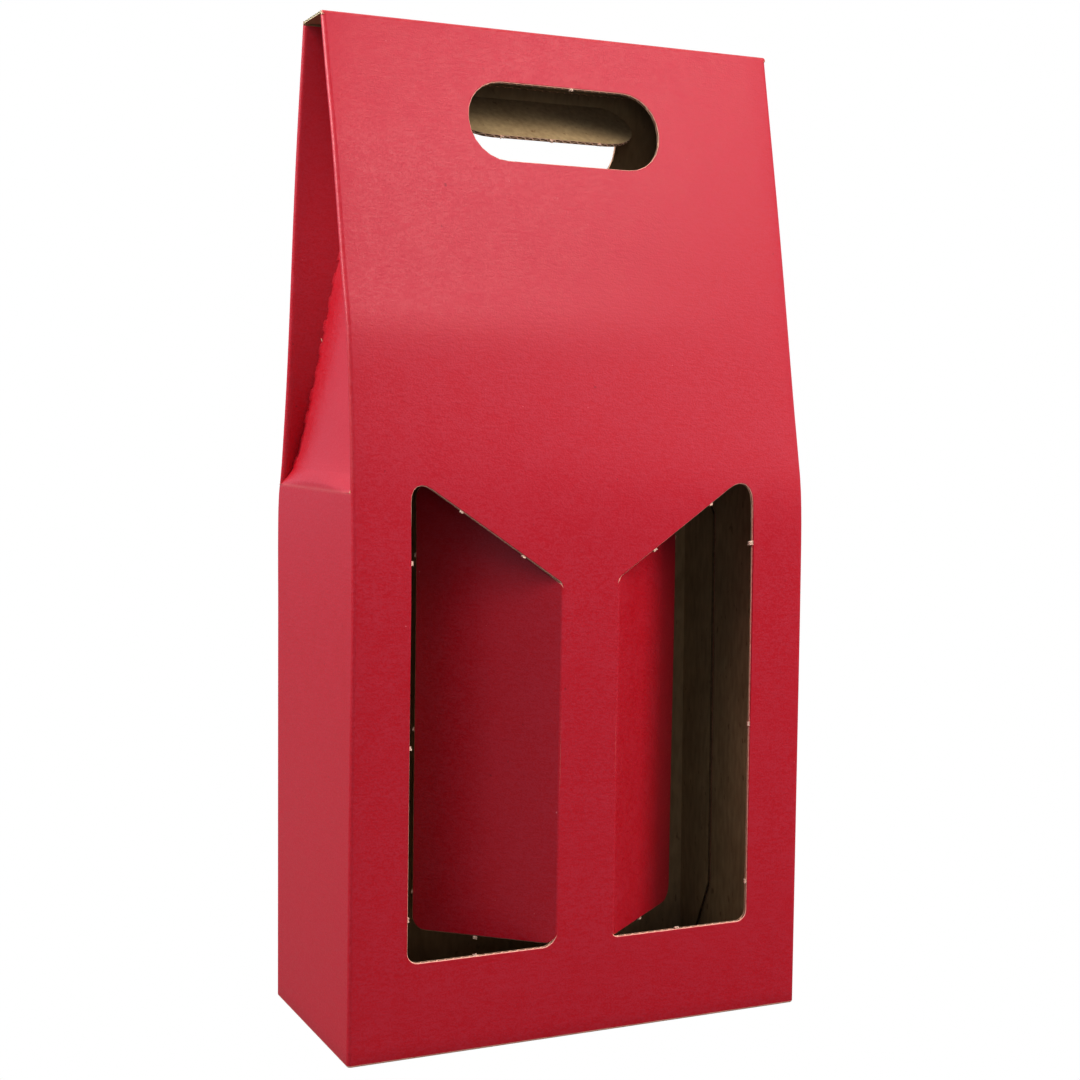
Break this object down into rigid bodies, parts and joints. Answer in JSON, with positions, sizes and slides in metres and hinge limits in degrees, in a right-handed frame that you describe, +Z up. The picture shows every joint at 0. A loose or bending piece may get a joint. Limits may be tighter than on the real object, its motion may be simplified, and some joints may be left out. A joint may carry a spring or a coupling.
{
  "type": "bottle gift box",
  "caption": "Folding carton carrier for bottles, with hinged window flaps in front, a gabled roof with inward gussets, a handle slot and a tuck-in ridge lid.",
  "frame": {"origin": "middle of the base, on the surface that the carton stands on", "axes": "+Z up, -Y to the front with the windows, +X to the right as seen from the front"},
  "size_m": [0.18, 0.09, 0.368],
  "materials": {
    "printed_board": "matte red print outside, kraft inside",
    "kraft_board": "plain kraft"
  },
  "bodies": {
    "carton": {"front_panel": "printed_board", "back_panel": "printed_board", "left_side_panel": "printed_board", "right_side_panel": "printed_board", "seam_flap": "kraft_board", "left_gusset_centre": "printed_board", "left_gusset_front_wing": "printed_board", "left_gusset_back_wing": "printed_board", "right_gusset_centre": "printed_board", "right_gusset_front_wing": "printed_board", "right_gusset_back_wing": "printed_board", "front_base_flap": "printed_board", "back_base_flap": "printed_board", "left_base_flap": "printed_board", "right_base_flap": "printed_board", "left_glued_corner": "printed_board", "right_glued_corner": "printed_board"},
    "left_window_flap": {"left_window_flap": "printed_board"},
    "right_window_flap": {"right_window_flap": "printed_board"},
    "handle_flap": {"handle_flap": "printed_board"},
    "lid": {"ridge_strip": "printed_board"},
    "tuck_flap": {"tuck_flap": "printed_board"}
  },
  "joints": [
    {"name": "left_window_fold", "type": "hinge", "parent": "carton", "child": "left_window_flap", "pos_m": [-0.011, -0.0435, 0.1], "axis": [0, 0, -1], "range_deg": [-41, 49]},
    {"name": "right_window_fold", "type": "hinge", "parent": "carton", "child": "right_window_flap", "pos_m": [0.011, -0.0435, 0.1], "axis": [0, 0, 1], "range_deg": [-41, 49]},
    {"name": "handle_fold", "type": "hinge", "parent": "carton", "child": "handle_flap", "pos_m": [0, 0.01429, 0.34858], "axis": [-1, 0, 0], "range_deg": [-60, 30]},
    {"name": "lid_fold", "type": "hinge", "parent": "carton", "child": "lid", "pos_m": [0, -0.012, 0.368], "axis": [1, 0, 0], "range_deg": [0, 120]},
    {"name": "tuck_fold", "type": "hinge", "parent": "lid", "child": "tuck_flap", "pos_m": [0, 0.00857, 0.3665], "axis": [1, 0, 0], "range_deg": [-60, 0]}
  ],
  "couplings": [
    {"joint": "tuck_fold", "follows": "lid_fold", "ratio": -0.5}
  ]
}
